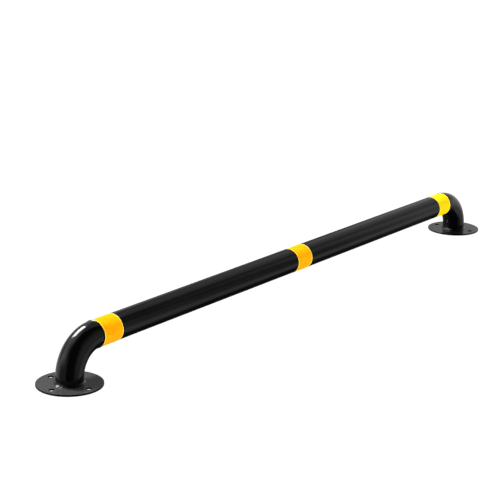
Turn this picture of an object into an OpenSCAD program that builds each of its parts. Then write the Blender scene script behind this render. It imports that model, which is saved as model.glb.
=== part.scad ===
// Low tubular parking barrier: a steel tube laid along the edge of a bay,
// with a 90 degree bend at each end, a round bolt-down base plate under each
// bend, butt welds where tube and bends meet, fillet welds round the feet and
// three reflective bands wrapped round the tube.
// Millimetres, +Z up. The origin is on the floor, midway between the two feet.
// The tube runs along X, and the foot at -X is the left one.

/* [Tube] */
// Distance between the upright axes of the two feet
foot_span = 2000; // [800:10:3000]
// Outer diameter of the tube and of the bends
pipe_d = 76; // [60:1:90]
// Wall thickness of the tube and of the bends
pipe_wall = 3; // [2:0.5:5]
// Radius of each bend, measured to the centre line of the tube
bend_r = 95; // [80:1:140]
// Straight upright end of each bend, above its base plate
bend_tail = 13; // [8:1:120]

/* [Base plates] */
// Diameter of each round base plate
plate_d = 180; // [166:1:240]
// Thickness of each base plate
plate_t = 5; // [3:0.5:12]
// Diameter of the circle that the fixing holes lie on
hole_pcd = 136; // [128:1:138]
// Diameter of each fixing hole
hole_d = 16; // [9:0.5:18]
// Number of fixing holes in each base plate
hole_n = 3; // [2:1:3]
// Angle between one fixing hole and the next
hole_step = 90; // [60:5:90]

/* [Welds] */
// Width of the butt weld bead between the tube and a bend
bead_w = 6; // [4:0.5:10]
// Height of the butt weld bead above the tube
bead_h = 1.4; // [0.5:0.1:2]
// Leg length of the fillet weld round a foot
fillet_leg = 6; // [3:0.5:7]

/* [Reflective bands] */
// Width of each reflective band along the tube
band_w = 72; // [30:1:100]
// Thickness of the film
band_t = 0.5; // [0.3:0.1:1]
// Distance from the end of a bend to the near edge of its band
band_gap = 3; // [3:1:120]
// Shift of the middle band towards +X from the middle of the tube
mid_shift = 14; // [-40:1:40]

/* [Hidden] */
$fn = 128;

black = [0.10, 0.10, 0.11];
plate_grey = [0.20, 0.20, 0.21];
weld_grey = [0.16, 0.16, 0.17];
yellow = [0.98, 0.80, 0.05];

pipe_r = pipe_d / 2;
bore_r = pipe_r - pipe_wall;
leg_x = foot_span / 2;               // upright axis of each foot
joint_x = leg_x - bend_r;            // where the straight tube meets a bend
tail_z = plate_t + bend_tail;        // where a bend's upright end begins
rail_z = tail_z + bend_r;            // height of the tube's centre line

// The straight tube between the two bends.
module rail_tube() {
    color(black)
    translate([-joint_x, 0, rail_z]) rotate([0, 90, 0])
    difference() {
        cylinder(h = 2 * joint_x, r = pipe_r);
        translate([0, 0, -1]) cylinder(h = 2 * joint_x + 2, r = bore_r);
    }
}

// A quarter bend in the XZ plane with a short upright end. The bend starts
// level at joint_x and turns down to leg_x, and its end stands on the plate.
module bend_pipe() {
    // The bent part.
    translate([joint_x, 0, tail_z])
    rotate([90, 0, 0])
    rotate_extrude(angle = 90)
    translate([bend_r, 0])
    difference() {
        circle(r = pipe_r);
        circle(r = bore_r);
    }
    // Its upright end.
    translate([leg_x, 0, plate_t])
    difference() {
        cylinder(h = bend_tail, r = pipe_r);
        translate([0, 0, -1]) cylinder(h = bend_tail + 2, r = bore_r);
    }
}

module elbow_right() {
    color(black) bend_pipe();
}

module elbow_left() {
    color(black) mirror([1, 0, 0]) bend_pipe();
}

// The round plate at +X, with its fixing holes on one circle: one at the outer
// end, on the tube's own line, and one at each side. There is none under the
// tube, where no spanner could reach it.
module end_plate() {
    translate([leg_x, 0, 0])
    difference() {
        cylinder(h = plate_t, r = plate_d / 2);
        for (i = [0 : hole_n - 1])
            rotate([0, 0, (i - (hole_n - 1) / 2) * hole_step])
            translate([hole_pcd / 2, 0, -1])
            cylinder(h = plate_t + 2, d = hole_d, $fn = 48);
    }
}

module base_plate_left() {
    color(plate_grey) mirror([1, 0, 0]) end_plate();
}

module base_plate_right() {
    color(plate_grey) end_plate();
}

// The bead of a butt weld: a low crowned ring round the tube at a joint.
module bead(x) {
    color(weld_grey)
    translate([x, 0, rail_z]) rotate([0, 90, 0])
    rotate_extrude()
    polygon([
        [pipe_r, -bead_w / 2],
        [pipe_r + bead_h * 0.60, -bead_w * 0.33],
        [pipe_r + bead_h * 0.92, -bead_w * 0.15],
        [pipe_r + bead_h, 0],
        [pipe_r + bead_h * 0.92, bead_w * 0.15],
        [pipe_r + bead_h * 0.60, bead_w * 0.33],
        [pipe_r, bead_w / 2]
    ]);
}

module weld_rail_left() { bead(-joint_x); }
module weld_rail_right() { bead(joint_x); }

// The fillet weld round a foot: a ring in the corner between the upright end
// and the plate, with a slightly hollow face.
module foot_weld(x) {
    color(weld_grey)
    translate([x, 0, plate_t])
    rotate_extrude()
    polygon([
        [pipe_r, 0],
        [pipe_r + fillet_leg, 0],
        [pipe_r + fillet_leg * 0.62, fillet_leg * 0.26],
        [pipe_r + fillet_leg * 0.26, fillet_leg * 0.62],
        [pipe_r, fillet_leg]
    ]);
}

module weld_foot_left() { foot_weld(-leg_x); }
module weld_foot_right() { foot_weld(leg_x); }

// A band of film wrapped once round the tube.
module band(x0) {
    color(yellow)
    translate([x0, 0, rail_z]) rotate([0, 90, 0])
    difference() {
        cylinder(h = band_w, r = pipe_r + band_t);
        translate([0, 0, -1]) cylinder(h = band_w + 2, r = pipe_r);
    }
}

module band_left() { band(-joint_x + band_gap); }
module band_centre() { band(mid_shift - band_w / 2); }
module band_right() { band(joint_x - band_gap - band_w); }

rail_tube();
elbow_left();
elbow_right();
base_plate_left();
base_plate_right();
weld_rail_left();
weld_rail_right();
weld_foot_left();
weld_foot_right();
band_left();
band_centre();
band_right();
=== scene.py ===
import bpy
import bmesh
import math
from mathutils import Matrix, Quaternion, Vector, noise


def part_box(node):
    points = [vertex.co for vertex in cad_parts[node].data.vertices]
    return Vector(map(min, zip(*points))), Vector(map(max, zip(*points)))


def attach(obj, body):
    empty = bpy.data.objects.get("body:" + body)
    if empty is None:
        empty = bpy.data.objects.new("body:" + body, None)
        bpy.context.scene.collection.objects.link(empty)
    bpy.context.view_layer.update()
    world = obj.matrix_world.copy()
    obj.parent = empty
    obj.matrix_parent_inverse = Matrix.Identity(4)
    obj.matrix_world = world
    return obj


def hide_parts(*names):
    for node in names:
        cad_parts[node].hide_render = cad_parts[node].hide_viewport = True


# ---------------------------------------------------------------- the frame
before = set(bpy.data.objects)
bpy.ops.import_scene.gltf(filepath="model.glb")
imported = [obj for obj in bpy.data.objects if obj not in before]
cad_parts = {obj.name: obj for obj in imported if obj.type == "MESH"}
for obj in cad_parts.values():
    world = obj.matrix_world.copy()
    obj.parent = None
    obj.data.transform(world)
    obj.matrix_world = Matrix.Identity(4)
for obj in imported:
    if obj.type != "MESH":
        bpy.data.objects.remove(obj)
scene = bpy.context.scene


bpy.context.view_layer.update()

rail_lo, rail_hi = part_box("rail_tube")
PIPE_R = (rail_hi.y - rail_lo.y) / 2
RAIL_Z = (rail_hi.z + rail_lo.z) / 2
JOINT_X = rail_hi.x
plate_lo, plate_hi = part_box("base_plate_right")
LEG_X = (plate_lo.x + plate_hi.x) / 2
PLATE_R = (plate_hi.y - plate_lo.y) / 2
PLATE_T = plate_hi.z
BEND_R = LEG_X - JOINT_X
TAIL_Z = RAIL_Z - BEND_R
PIPE_WALL = 0.003
HOLE_PCR = 0.068
HOLE_R = 0.008

# --------------------------------------------------------------- the camera
YAW, PITCH, ROLL = 0.92882, 0.28373, 0.01761
FOCAL_PX = 1535.47
forward = Vector((math.sin(YAW) * math.cos(PITCH), math.cos(YAW) * math.cos(PITCH), -math.sin(PITCH)))
right = Vector((math.cos(YAW), -math.sin(YAW), 0.0))
down = forward.cross(right)
cr, sr = math.cos(ROLL), math.sin(ROLL)
cam_x = right * cr - down * sr
cam_y = -(right * sr + down * cr)
cam_z = -forward
cam_data = bpy.data.cameras.new("camera")
cam_data.sensor_fit = "HORIZONTAL"
cam_data.sensor_width = 36.0
cam_data.lens = FOCAL_PX / 500.0 * 36.0
cam_data.clip_start = 0.05
cam_data.clip_end = 200.0
cam = bpy.data.objects.new("camera", cam_data)
cam.matrix_world = Matrix((
    (cam_x.x, cam_y.x, cam_z.x, -3.72733),
    (cam_x.y, cam_y.y, cam_z.y, -2.61959),
    (cam_x.z, cam_y.z, cam_z.z, 1.46871),
    (0.0, 0.0, 0.0, 1.0),
))
scene.collection.objects.link(cam)
scene.camera = cam


# ---------------------------------------------------------------- materials
class Shader:
    """A node tree with one Principled shader and short calls to add nodes."""

    def __init__(self, name):
        self.mat = bpy.data.materials.new(name)
        self.mat.use_nodes = True
        self.tree = self.mat.node_tree
        self.tree.nodes.clear()
        self.out = self.tree.nodes.new("ShaderNodeOutputMaterial")
        self.bsdf = self.tree.nodes.new("ShaderNodeBsdfPrincipled")
        self.tree.links.new(self.bsdf.outputs[0], self.out.inputs["Surface"])
        self.coord = self.tree.nodes.new("ShaderNodeTexCoord").outputs["Object"]

    def node(self, kind, **props):
        n = self.tree.nodes.new(kind)
        for k, v in props.items():
            setattr(n, k, v)
        return n

    def link(self, a, b):
        self.tree.links.new(a, b)

    def mapping(self, scale=(1, 1, 1), rotation=(0, 0, 0), source=None):
        n = self.node("ShaderNodeMapping")
        n.inputs["Scale"].default_value = scale
        n.inputs["Rotation"].default_value = rotation
        self.link(source or self.coord, n.inputs["Vector"])
        return n.outputs[0]

    def noise(self, scale, detail=2.0, rough=0.5, vector=None, distortion=0.0):
        n = self.node("ShaderNodeTexNoise")
        n.inputs["Scale"].default_value = scale
        n.inputs["Detail"].default_value = detail
        n.inputs["Roughness"].default_value = rough
        n.inputs["Distortion"].default_value = distortion
        self.link(vector or self.coord, n.inputs["Vector"])
        return n.outputs["Fac"]

    def voronoi(self, scale, feature="F1", vector=None, randomness=1.0, out="Distance"):
        n = self.node("ShaderNodeTexVoronoi", feature=feature)
        n.inputs["Scale"].default_value = scale
        n.inputs["Randomness"].default_value = randomness
        self.link(vector or self.coord, n.inputs["Vector"])
        return n.outputs[out]

    def remap(self, value, lo, hi, to_lo, to_hi, smooth=False):
        n = self.node("ShaderNodeMapRange")
        if smooth:
            n.interpolation_type = "SMOOTHSTEP"
        n.inputs["From Min"].default_value = lo
        n.inputs["From Max"].default_value = hi
        n.inputs["To Min"].default_value = to_lo
        n.inputs["To Max"].default_value = to_hi
        self.link(value, n.inputs["Value"])
        return n.outputs["Result"]

    def math(self, op, a, b):
        n = self.node("ShaderNodeMath", operation=op)
        for i, v in enumerate((a, b)):
            if isinstance(v, (int, float)):
                n.inputs[i].default_value = v
            else:
                self.link(v, n.inputs[i])
        return n.outputs[0]

    def ramp(self, value, stops):
        n = self.node("ShaderNodeValToRGB")
        e = n.color_ramp.elements
        while len(e) > 2:
            e.remove(e[-1])
        for i, (pos, col) in enumerate(stops):
            if i < 2:
                e[i].position = pos
            else:
                e.new(pos)
            e[i].color = (*col, 1.0)
        self.link(value, n.inputs["Fac"])
        return n.outputs["Color"]

    def mix(self, fac, a, b, blend="MIX"):
        n = self.node("ShaderNodeMix", data_type="RGBA", blend_type=blend)
        if isinstance(fac, (int, float)):
            n.inputs["Factor"].default_value = fac
        else:
            self.link(fac, n.inputs["Factor"])
        for key, v in (("A", a), ("B", b)):
            sock = [s for s in n.inputs if s.name == key and s.type == "RGBA"][0]
            if isinstance(v, tuple):
                sock.default_value = (*v, 1.0)
            else:
                self.link(v, sock)
        return [s for s in n.outputs if s.type == "RGBA"][0]

    def bump(self, height, strength, distance, normal=None):
        n = self.node("ShaderNodeBump")
        n.inputs["Strength"].default_value = strength
        n.inputs["Distance"].default_value = distance
        self.link(height, n.inputs["Height"])
        if normal is not None:
            self.link(normal, n.inputs["Normal"])
        return n.outputs[0]


def gloss_black(name, weld=False, drawn=False, dull=0.0):
    """Glossy black powder coat with a faint orange peel and tiny specks.

    On drawn tube the steel's lengthwise marks show through the coat."""
    s = Shader(name)
    peel = s.noise(210.0, 1.5, 0.45)
    long_wave = s.noise(26.0, 1.0, 0.4)
    cloud = s.noise(9.0, 3.0, 0.6)
    speck = s.voronoi(900.0, randomness=1.0)
    colour = s.mix(s.remap(cloud, 0.35, 0.65, 0.0, 1.0), (0.0007, 0.0007, 0.0008), (0.0015, 0.0015, 0.0016))
    fleck = s.remap(speck, 0.02, 0.10, 1.0, 0.0, True)
    colour = s.mix(s.math("MULTIPLY", fleck, 0.25), colour, (0.012, 0.012, 0.013))
    s.link(colour, s.bsdf.inputs["Base Color"])
    rough = s.remap(s.noise(34.0, 3.0, 0.6), 0.3, 0.7, dull + (0.07 if not weld else 0.08), dull + (0.11 if not weld else 0.14))
    s.link(rough, s.bsdf.inputs["Roughness"])
    s.bsdf.inputs["Specular IOR Level"].default_value = 0.50
    n1 = s.bump(long_wave, 0.06, 0.0006)
    n2 = s.bump(peel, 0.10, 0.00018, n1)
    if drawn:
        lines = s.noise(230.0, 3.0, 0.6, s.mapping(scale=(0.006, 1.0, 1.0)))
        n2 = s.bump(lines, 0.16, 0.00022, n2)
    s.link(n2, s.bsdf.inputs["Normal"])
    return s.mat


def plate_coat(name, painted_top_light, shine, rough):
    """Semi-gloss dark coat on flat plate, with fine grain. The second argument is how far its flat top is painted
    pale: painted light for the lit top, set lower on the far plate as painted shade.
    """
    s = Shader(name)
    grain = s.noise(620.0, 3.0, 0.6)
    cloud = s.noise(14.0, 4.0, 0.6)
    colour = s.mix(s.remap(cloud, 0.35, 0.65, 0.0, 1.0), (0.027, 0.027, 0.0273), (0.037, 0.037, 0.0374))
    colour = s.mix(s.remap(grain, 0.30, 0.70, 0.0, 0.45), colour, (0.060, 0.060, 0.061))
    fleck = s.noise(260.0, 2.0, 0.6)
    colour = s.mix(s.remap(fleck, 0.32, 0.68, 0.0, 0.75), colour, (0.056, 0.056, 0.0565))
    colour = s.mix(s.remap(fleck, 0.30, 0.45, 0.5, 0.0), colour, (0.012, 0.012, 0.012))
    colour = s.mix(painted_top_light, (0.0015, 0.0015, 0.0016), colour)
    # Painted light: only the flat top is painted pale, as if lit from above; the rim and the hole walls stay black
    # as painted shade.
    geo = s.node("ShaderNodeNewGeometry")
    xyz = s.node("ShaderNodeSeparateXYZ")
    s.link(geo.outputs["True Normal"], xyz.inputs[0])
    top = s.remap(xyz.outputs["Z"], 0.80, 0.99, 0.0, 1.0, True)
    pos = s.node("ShaderNodeSeparateXYZ")
    s.link(s.coord, pos.inputs[0])
    # The pale top fades out just inside the rim, leaving the rim edge black as painted shade.
    along = s.math("SUBTRACT", s.math("ABSOLUTE", pos.outputs["X"], 0.0), LEG_X)
    radius = s.math("POWER", s.math("ADD", s.math("POWER", along, 2.0), s.math("POWER", pos.outputs["Y"], 2.0)), 0.5)
    top = s.math("MULTIPLY", top, s.remap(radius, PLATE_R - 0.0016, PLATE_R - 0.0009, 1.0, 0.0, True))
    colour = s.mix(top, (0.0015, 0.0015, 0.0016), colour)
    s.link(colour, s.bsdf.inputs["Base Color"])
    s.link(s.remap(s.noise(60.0, 3.0, 0.6), 0.3, 0.7, rough, rough + 0.06), s.bsdf.inputs["Roughness"])
    s.bsdf.inputs["Specular IOR Level"].default_value = shine
    n1 = s.bump(s.noise(420.0, 2.0, 0.5), 0.16, 0.0002)
    s.link(n1, s.bsdf.inputs["Normal"])
    return s.mat


def film(name, node, shift, deep, mid, pale):
    """Yellow retroreflective film: a sealed cell pattern, fine beads, a soft mottle and pale sealed edges."""
    s = Shader(name)
    vec = s.node("ShaderNodeMapping")
    vec.inputs["Location"].default_value = (shift, 0.0, 0.0)
    s.link(s.coord, vec.inputs["Vector"])
    vec = vec.outputs[0]
    mottle = s.noise(120.0, 4.0, 0.62, vec)
    cloud = s.noise(30.0, 2.0, 0.5, vec)
    beads = s.noise(1500.0, 1.0, 0.5, vec)
    cells = s.voronoi(260.0, "DISTANCE_TO_EDGE", vec, 0.25)
    base = s.ramp(mottle, [(0.34, deep), (0.50, mid), (0.68, pale)])
    base = s.mix(s.remap(cloud, 0.4, 0.62, 0.0, 0.35), base, pale)
    wall = s.remap(cells, 0.0, 0.035, 0.16, 0.0, True)
    light = tuple(min(1.0, c * k) for c, k in zip(pale, (1.03, 1.20, 1.5)))
    base = s.mix(wall, base, light)
    base = s.mix(s.remap(beads, 0.45, 0.75, 0.0, 0.10), base, light)
    lo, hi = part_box(node)
    xyz = s.node("ShaderNodeSeparateXYZ")
    s.link(s.coord, xyz.inputs[0])
    off = s.math("ABSOLUTE", s.math("SUBTRACT", xyz.outputs["X"], (lo.x + hi.x) / 2), 0.0)
    half = (hi.x - lo.x) / 2
    base = s.mix(s.remap(off, half - 0.0026, half - 0.0017, 0.0, 1.0, True), base, (0.98, 0.84, 0.12))
    s.link(base, s.bsdf.inputs["Base Color"])
    s.link(s.remap(mottle, 0.3, 0.7, 0.38, 0.52), s.bsdf.inputs["Roughness"])
    s.bsdf.inputs["Specular IOR Level"].default_value = 0.02
    n1 = s.bump(cells, 0.10, 0.0002)
    n2 = s.bump(mottle, 0.10, 0.0002, n1)
    s.link(n2, s.bsdf.inputs["Normal"])
    return s.mat


MAT_TUBE = gloss_black("black_powder_coat")
MAT_DRAWN = gloss_black("black_powder_coat_tube", drawn=True)
MAT_WELD = gloss_black("black_powder_coat_weld", weld=True)
MAT_FOOT_WELD = gloss_black("black_powder_coat_foot_weld", weld=True, dull=0.10)
# The two plates are one coat lit differently: the near plate's top is painted paler as painted light, the far
# plate's darker as painted shade.
MAT_PLATE_LEFT = plate_coat("base_plate_coat", 1.0, 0.12, 0.19)
MAT_PLATE_RIGHT = plate_coat("base_plate_coat_right", 0.28, 0.30, 0.13)


# ------------------------------------------------------------- mesh helpers
def finish_mesh(name, verts, faces, mat, node, sharp=38.0):
    me = bpy.data.meshes.new(name)
    me.from_pydata(verts, [], faces)
    bm = bmesh.new()
    bm.from_mesh(me)
    bmesh.ops.recalc_face_normals(bm, faces=bm.faces)
    bm.to_mesh(me)
    bm.free()
    me.shade_smooth()
    me.set_sharp_from_angle(angle=math.radians(sharp))
    me.materials.append(mat)
    ob = bpy.data.objects.new(name, me)
    scene.collection.objects.link(ob)
    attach(ob, "root")
    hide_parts(node)
    return ob


def rings_to_mesh(rings, close_rings):
    """Quads between rings of equal length, each ring closed on itself."""
    verts, faces = [], []
    n = len(rings[0])
    for ring in rings:
        verts.extend(ring)
    count = len(rings)
    for i in range(count if close_rings else count - 1):
        a, b = i * n, ((i + 1) % count) * n
        for k in range(n):
            k2 = (k + 1) % n
            faces.append((a + k, a + k2, b + k2, b + k))
    return verts, faces


# ------------------------------------------------------- the straight tube
def make_rail():
    n, steps = 192, 72
    ri = PIPE_R - PIPE_WALL
    loop = [(-JOINT_X + 2 * JOINT_X * i / steps, PIPE_R) for i in range(steps + 1)]
    loop += [(JOINT_X - 2 * JOINT_X * i / 12, ri) for i in range(13)]
    rings = []
    for x, r in loop:
        rings.append([(x, r * math.sin(2 * math.pi * k / n), RAIL_Z + r * math.cos(2 * math.pi * k / n)) for k in range(n)])
    v, f = rings_to_mesh(rings, True)
    return finish_mesh("rail_tube_coated", v, f, MAT_DRAWN, "rail_tube")


# --------------------------------------------------------------- the bends
def bend_frame(s):
    """Centre, outward direction and side direction at a share s of the bend, for the right-hand bend."""
    arc = BEND_R * math.pi / 2
    tail = TAIL_Z - PLATE_T
    d = s * (arc + tail)
    if d <= arc:
        a = d / BEND_R
        centre = Vector((JOINT_X + BEND_R * math.sin(a), 0.0, TAIL_Z + BEND_R * math.cos(a)))
        out = Vector((math.sin(a), 0.0, math.cos(a)))
    else:
        centre = Vector((LEG_X, 0.0, TAIL_Z - (d - arc)))
        out = Vector((1.0, 0.0, 0.0))
    return centre, out


def make_elbow(side):
    n, steps = 160, 72
    ri = PIPE_R - PIPE_WALL
    loop = [(i / steps, PIPE_R) for i in range(steps + 1)] + [(1 - i / 24, ri) for i in range(25)]
    rings = []
    for s, r in loop:
        c, out = bend_frame(s)
        ring = []
        for k in range(n):
            t = 2 * math.pi * k / n
            p = c + out * (r * math.cos(t)) + Vector((0, 1, 0)) * (r * math.sin(t))
            ring.append((p.x * side, p.y, max(p.z, PLATE_T)))
        rings.append(ring)
    v, f = rings_to_mesh(rings, True)
    name = "elbow_right" if side > 0 else "elbow_left"
    return finish_mesh(name + "_coated", v, f, MAT_TUBE, name)


# --------------------------------------------------------- the base plates
def make_plate(side):
    """A disc with three holes, at its outer end and its sides: flat faces, rounded outer edge and softened hole edges."""
    cx = LEG_X * side
    edge, lip, arc = 0.0004, 0.0002, 4
    bm = bmesh.new()

    def circle(x, y, r, z, n):
        return [bm.verts.new((x + r * math.cos(2 * math.pi * k / n), y + r * math.sin(2 * math.pi * k / n), z)) for k in range(n)]

    def bridge(a, b):
        n = len(a)
        for k in range(n):
            bm.faces.new((a[k], a[(k + 1) % n], b[(k + 1) % n], b[k]))

    def wall(x, y, r, soft, sign, n):
        """Rings from the top flat face to the bottom one. sign is +1 for an outer edge and -1 for a hole."""
        rings = []
        for i in range(arc + 1):
            a = math.pi / 2 * i / arc
            rings.append(circle(x, y, r - sign * soft * (1 - math.sin(a)), PLATE_T - soft * (1 - math.cos(a)), n))
        for i in range(arc + 1):
            a = math.pi / 2 * (1 - i / arc)
            rings.append(circle(x, y, r - sign * soft * (1 - math.sin(a)), soft * (1 - math.cos(a)), n))
        for a, b in zip(rings, rings[1:]):
            bridge(a, b)
        return rings[0], rings[-1]

    tops, bottoms = [], []
    t, b = wall(cx, 0.0, PLATE_R - 0.00005, edge, 1, 224)
    tops.append(t)
    bottoms.append(b)
    for i in (-1, 0, 1):
        a = math.pi / 2 * i
        t, b = wall(cx + side * HOLE_PCR * math.cos(a), HOLE_PCR * math.sin(a), HOLE_R, lip, -1, 56)
        tops.append(t)
        bottoms.append(b)
    for loops in (tops, bottoms):
        edges = []
        for ring in loops:
            for k in range(len(ring)):
                edges.append(bm.edges.get((ring[k], ring[(k + 1) % len(ring)])))
        bmesh.ops.triangle_fill(bm, use_beauty=True, use_dissolve=False, edges=edges)
    bmesh.ops.recalc_face_normals(bm, faces=bm.faces)
    name = "base_plate_right" if side > 0 else "base_plate_left"
    me = bpy.data.meshes.new(name + "_coated")
    bm.to_mesh(me)
    bm.free()
    me.shade_smooth()
    me.materials.append(MAT_PLATE_RIGHT if side > 0 else MAT_PLATE_LEFT)
    ob = bpy.data.objects.new(name + "_coated", me)
    scene.collection.objects.link(ob)
    w = ob.modifiers.new("flat_faces", "WEIGHTED_NORMAL")
    w.keep_sharp = False
    w.weight = 100
    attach(ob, "root")
    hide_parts(name)
    return ob


# --------------------------------------------------------------- the welds
def make_rail_bead(side):
    """A rippled butt weld bead round the tube, softened by the coat."""
    lo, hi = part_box("weld_rail_right")
    half = (hi.x - lo.x) / 2
    top = (hi.z - lo.z) / 2 - PIPE_R
    n, m = 420, 12
    ripples = 96
    rings = []
    for k in range(n):
        t = 2 * math.pi * k / n
        w = 1.0 + 0.10 * noise.noise(Vector((3 * math.cos(t), 3 * math.sin(t), 4.0 * side)))
        wander = 0.10 * half * noise.noise(Vector((2 * math.cos(t), 2 * math.sin(t), 9.0 + side)))
        ring = []
        for j in range(m + 1):
            u = -1 + 2 * j / m
            crown = 1 - abs(u) ** 1.3
            ripple = 0.5 + 0.5 * math.cos(ripples * t + 2.6 * (1 - u * u))
            h = top * crown * (0.80 + 0.16 * ripple) - 0.00012 * (1 - crown)
            r = PIPE_R + h
            x = side * JOINT_X + wander + half * 0.93 * w * u
            ring.append((x, r * math.sin(t), RAIL_Z + r * math.cos(t)))
        for u in (1.0, -1.0):
            r = PIPE_R - 0.0006
            ring.append((side * JOINT_X + wander + half * 0.9 * w * u, r * math.sin(t), RAIL_Z + r * math.cos(t)))
        rings.append(ring)
    v, f = rings_to_mesh(rings, True)
    name = "weld_rail_right" if side > 0 else "weld_rail_left"
    return finish_mesh(name + "_bead", v, f, MAT_WELD, name, 60.0)


def make_foot_weld(side):
    """A rippled fillet weld in the corner between bend and plate, with the lump where it starts and stops."""
    lo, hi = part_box("weld_foot_right")
    leg = (hi.y - lo.y) / 2 - PIPE_R
    n, m = 420, 12
    ripples = 104
    cx = LEG_X * side
    lump_at = (math.radians(174), math.radians(11)) if side < 0 else (math.radians(172), math.radians(10))
    rings = []
    for k in range(n):
        t = 2 * math.pi * k / n
        wob = noise.noise(Vector((2.4 * math.cos(t), 2.4 * math.sin(t), 17.0 + 3 * side)))
        off = (t - lump_at[0] + math.pi) % (2 * math.pi) - math.pi
        lump = math.exp(-(off / lump_at[1]) ** 2)
        reach = leg * (0.93 + 0.09 * wob + 0.50 * lump)
        rise = leg * (0.93 + 0.07 * noise.noise(Vector((2.0 * math.cos(t), 2.0 * math.sin(t), 31.0 - 2 * side))))
        ring = []
        for j in range(m + 1):
            u = j / m
            px = reach * (1 - u)
            # The face is hollow, and at the lump nearly flat.
            hollow = rise * u ** 2.1
            flat = reach * 0.47 * u + rise * 0.5 * max(0.0, u - 0.8) / 0.2
            pz = hollow * (1 - lump) + flat * lump
            face = 4 * u * (1 - u)
            ripple = 0.5 + 0.5 * math.cos(ripples * t + 2.8 * face)
            lumpy = noise.noise(Vector((420 * px, 9.0 * t, 3.0 * side)))
            lift = 0.00055 * face * (0.55 + 0.45 * ripple) + 0.0003 * face * lumpy
            r = PIPE_R + px + lift * 0.6
            ring.append((cx + r * math.cos(t), r * math.sin(t), PLATE_T + pz + lift * 0.8))
        r = PIPE_R - 0.0008
        ring.append((cx + r * math.cos(t), r * math.sin(t), PLATE_T + rise * 0.9))
        ring.append((cx + r * math.cos(t), r * math.sin(t), PLATE_T - 0.0006))
        r = PIPE_R + reach * 0.9
        ring.append((cx + r * math.cos(t), r * math.sin(t), PLATE_T - 0.0006))
        rings.append(ring)
    v, f = rings_to_mesh(rings, True)
    name = "weld_foot_right" if side > 0 else "weld_foot_left"
    return finish_mesh(name + "_bead", v, f, MAT_FOOT_WELD, name, 60.0)


# --------------------------------------------------------------- the bands
def make_band(node, mat, seam):
    """A strip of film wrapped once round the tube, its end lapping over its start."""
    lo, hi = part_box(node)
    x0, x1 = lo.x, hi.x
    thick = 0.00021
    lap = 0.016 / PIPE_R
    n = 260
    base = PIPE_R + 0.00003
    m = 16
    outer, inner = [], []
    total = 2 * math.pi + lap
    rows_out, rows_in = [], []
    for k in range(n + 1):
        s = k / n
        a = s * total
        # The last stretch climbs over the start.
        over = max(0.0, min(1.0, (a - (2 * math.pi - 0.05)) / 0.05))
        over = over * over * (3 - 2 * over)
        r_in = base + over * thick * 1.04
        t = seam + a
        ro, rin = [], []
        for j in range(m + 1):
            u = j / m
            x = x0 + (x1 - x0) * u
            edge = min(u, 1 - u) * (x1 - x0)
            soft = min(1.0, edge / 0.0004)
            r_out = r_in + thick * (0.55 + 0.45 * soft)
            ro.append((x, r_out * math.sin(t), RAIL_Z + r_out * math.cos(t)))
            rin.append((x, r_in * math.sin(t), RAIL_Z + r_in * math.cos(t)))
        rows_out.append(ro)
        rows_in.append(rin)
    # A closed cross-section per row: out along the top, back along the bottom.
    rings = [ro + rin[::-1] for ro, rin in zip(rows_out, rows_in)]
    v, f = rings_to_mesh(rings, False)
    w = len(rings[0])
    half = w // 2
    last = (len(rings) - 1) * w
    for j in range(half - 1):
        f.append((j, j + 1, w - 2 - j, w - 1 - j))
        f.append((last + j, last + j + 1, last + w - 2 - j, last + w - 1 - j))
    return finish_mesh(node + "_film", v, f, mat, node, 40.0)


make_rail()
for side in (-1, 1):
    make_elbow(side)
    make_plate(side)
    make_rail_bead(side)
    make_foot_weld(side)
# The bands are one film; the far band's paler lemon tint is painted light, standing in for how the far band catches
# the light.
AMBER = ((0.97, 0.31, 0.0005), (0.98, 0.37, 0.0005), (0.99, 0.43, 0.001))
LEMON = ((0.94, 0.55, 0.002), (0.96, 0.61, 0.003), (0.98, 0.67, 0.006))
make_band("band_left", film("yellow_reflective_film_a", "band_left", 0.0, *AMBER), math.radians(196))
make_band("band_centre", film("yellow_reflective_film_b", "band_centre", 1.3, *AMBER), math.radians(204))
make_band("band_right", film("yellow_reflective_film_c", "band_right", 2.7, *LEMON), math.radians(190))

# ---------------------------------------------------------- floor and light
floor_mesh = bpy.data.meshes.new("studio_floor")
floor_mesh.from_pydata([(-60, -60, 0), (60, -60, 0), (60, 60, 0), (-60, 60, 0)], [], [(0, 1, 2, 3)])
floor = bpy.data.objects.new("studio_floor", floor_mesh)
floor.location.z = -0.0003
scene.collection.objects.link(floor)
floor.visible_glossy = False
fm = bpy.data.materials.new("studio_floor")
fm.use_nodes = True
fb = fm.node_tree.nodes["Principled BSDF"]
fb.inputs["Base Color"].default_value = (0.05, 0.05, 0.05, 1.0)
fb.inputs["Roughness"].default_value = 0.9
fb.inputs["Specular IOR Level"].default_value = 0.0
fb.inputs["Emission Color"].default_value = (1.0, 1.0, 1.0, 1.0)
fb.inputs["Emission Strength"].default_value = 0.99
floor_mesh.materials.append(fm)

world = bpy.data.worlds.new("studio")
scene.world = world
world.use_nodes = True
wt = world.node_tree
wt.nodes.clear()


def wnode(kind, **props):
    n = wt.nodes.new(kind)
    for k, v in props.items():
        setattr(n, k, v)
    return n


def wmath(op, a, b):
    n = wnode("ShaderNodeMath", operation=op)
    for i, v in enumerate((a, b)):
        if isinstance(v, (int, float)):
            n.inputs[i].default_value = v
        else:
            wt.links.new(v, n.inputs[i])
    return n.outputs[0]


def wrange(v, lo, hi, a, b):
    n = wnode("ShaderNodeMapRange", interpolation_type="SMOOTHSTEP")
    for key, x in (("From Min", lo), ("From Max", hi), ("To Min", a), ("To Max", b)):
        n.inputs[key].default_value = x
    wt.links.new(v, n.inputs["Value"])
    return n.outputs["Result"]


def direction(az, el):
    """Unit vector for an azimuth from +Y towards +X and an elevation, in degrees."""
    a, e = math.radians(az), math.radians(el)
    return (math.sin(a) * math.cos(e), math.cos(a) * math.cos(e), math.sin(e))


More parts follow.
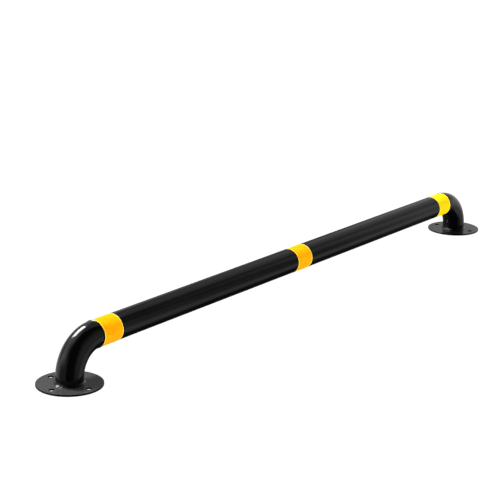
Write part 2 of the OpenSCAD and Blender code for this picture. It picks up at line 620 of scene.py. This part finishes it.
wcoord = wnode("ShaderNodeTexCoord").outputs["Generated"]
sep = wnode("ShaderNodeSeparateXYZ")
wt.links.new(wcoord, sep.inputs[0])
wz = sep.outputs["Z"]


def toward(az, el):
    n = wnode("ShaderNodeVectorMath", operation="DOT_PRODUCT")
    wt.links.new(wcoord, n.inputs[0])
    n.inputs[1].default_value = direction(az, el)
    return n.outputs["Value"]


# Azimuth is counted from 45 degrees, so that nothing wraps round except the dark side behind the camera.
turn = wmath("MULTIPLY", wmath("ARCTAN2", toward(135, 0), toward(45, 0)), 180 / math.pi)
lift = wmath("MULTIPLY", wmath("ARCSINE", wz, 0.0), 180 / math.pi)


def panel(az0, az1, soft_az, el0, el1, soft_el, value):
    """A soft-edged rectangle of light between two azimuths and two elevations."""
    t0, t1 = az0 - 45, az1 - 45
    w = wmath("MULTIPLY", wrange(turn, t0 - soft_az, t0, 0.0, 1.0), wrange(turn, t1, t1 + soft_az, 1.0, 0.0))
    h = wmath("MULTIPLY", wrange(lift, el0 - soft_el, el0, 0.0, 1.0), wrange(lift, el1, el1 + soft_el, 1.0, 0.0))
    return wmath("MULTIPLY", wmath("MULTIPLY", w, h), value)


# A dim tent: a pale back with a dimmer patch in it, and open and dark behind the camera.
level = wmath("MULTIPLY", wrange(toward(-0.5, 14.5), 0.47, 1.0, 0.0, 1.0), 0.84)
dip = wmath("SUBTRACT", 1.0, panel(-15, 28, 17, 5, 25, 4, 0.54))
level = wmath("MULTIPLY", level, dip)
for part in (
    panel(-61, -44, 29, 28, 29, 26, 0.73),      # softbox on the left
    panel(-94, -33, 14, -20, 17, 28, 0.19),     # tent wall on the left
    panel(-27, 4, 76, 68, 59, 40, 0.98),        # roof of the tent
    panel(65, 117, 11, 12, -4, 49, 0.92),       # softbox beyond the far end
    panel(76, 91, 24, 21, 82, 4, 0.27),         # tent above that
    panel(63, 55, 8, -38, 12, 10, 0.36),        # edge of the back wall
    panel(147, 174, 32, 9, 6, 56, 0.29),        # tent wall on the right
    panel(147, 127, 44, -35, -28, 27, 0.56),    # pale floor in front of the far end
):
    level = wmath("ADD", level, part)
level = wmath("ADD", level, 0.015)
tent = wnode("ShaderNodeBackground")
tent.inputs["Color"].default_value = (1, 1, 1, 1)
wt.links.new(level, tent.inputs["Strength"])
plain = wnode("ShaderNodeBackground")
plain.inputs["Color"].default_value = (1, 1, 1, 1)
plain.inputs["Strength"].default_value = 1.0
path = wnode("ShaderNodeLightPath")
pick = wnode("ShaderNodeMixShader")
wt.links.new(path.outputs["Is Camera Ray"], pick.inputs[0])
wt.links.new(tent.outputs[0], pick.inputs[1])
wt.links.new(plain.outputs[0], pick.inputs[2])
wout = wnode("ShaderNodeOutputWorld")
wt.links.new(pick.outputs[0], wout.inputs["Surface"])


def area(name, pos, target, size_x, size_y, radiance, glossy=True, diffuse=True):
    """A rectangular soft light of a given radiance, facing its target."""
    d = bpy.data.lights.new(name, "AREA")
    d.shape = "RECTANGLE"
    d.size, d.size_y = size_x, size_y
    d.energy = radiance * math.pi * size_x * size_y
    o = bpy.data.objects.new(name, d)
    o.location = pos
    look = Vector(target) - Vector(pos)
    o.rotation_euler = look.to_track_quat("-Z", "Y").to_euler()
    scene.collection.objects.link(o)
    o.visible_camera = False
    o.visible_glossy = glossy
    o.visible_diffuse = diffuse
    return o


STRIP_ROLL = 0.0
# Broad light from above and a weaker one from the front: they light the film and the floor.
area("overhead", (0.0, 0.0, 5.0), (0, 0, 0), 7.0, 7.0, 0.4, glossy=False)
area("front_fill", (0.3, -3.6, 0.9), (0, 0, 0.1), 5.0, 1.4, 5.0, glossy=False)
# The key light is high and a little behind: the feet and bends shade the plates in front of them.
key = Vector((-0.8, 0.0, 0.0)) + Vector(direction(10, 61)) * 6.0
area("key", key, (-0.8, 0, 0), 1.2, 1.2, 126.0, glossy=False)
# A bright softbox high at the back, which gives the sharp streak on the near bend.
strip = area("strip", (-0.49, 1.91, 2.40), (-0.97, 0, 0.13), 1.44, 1.10, 17.0, diffuse=False)
strip.rotation_euler = (strip.rotation_euler.to_quaternion() @ Quaternion((0, 0, 1), math.radians(STRIP_ROLL))).to_euler()

scene.view_settings.view_transform = "Standard"
scene.view_settings.look = "None"
scene.view_settings.exposure = 0.0
scene.view_settings.gamma = 1.0

# ------------------------------------------------------------ final update
bpy.context.view_layer.update()
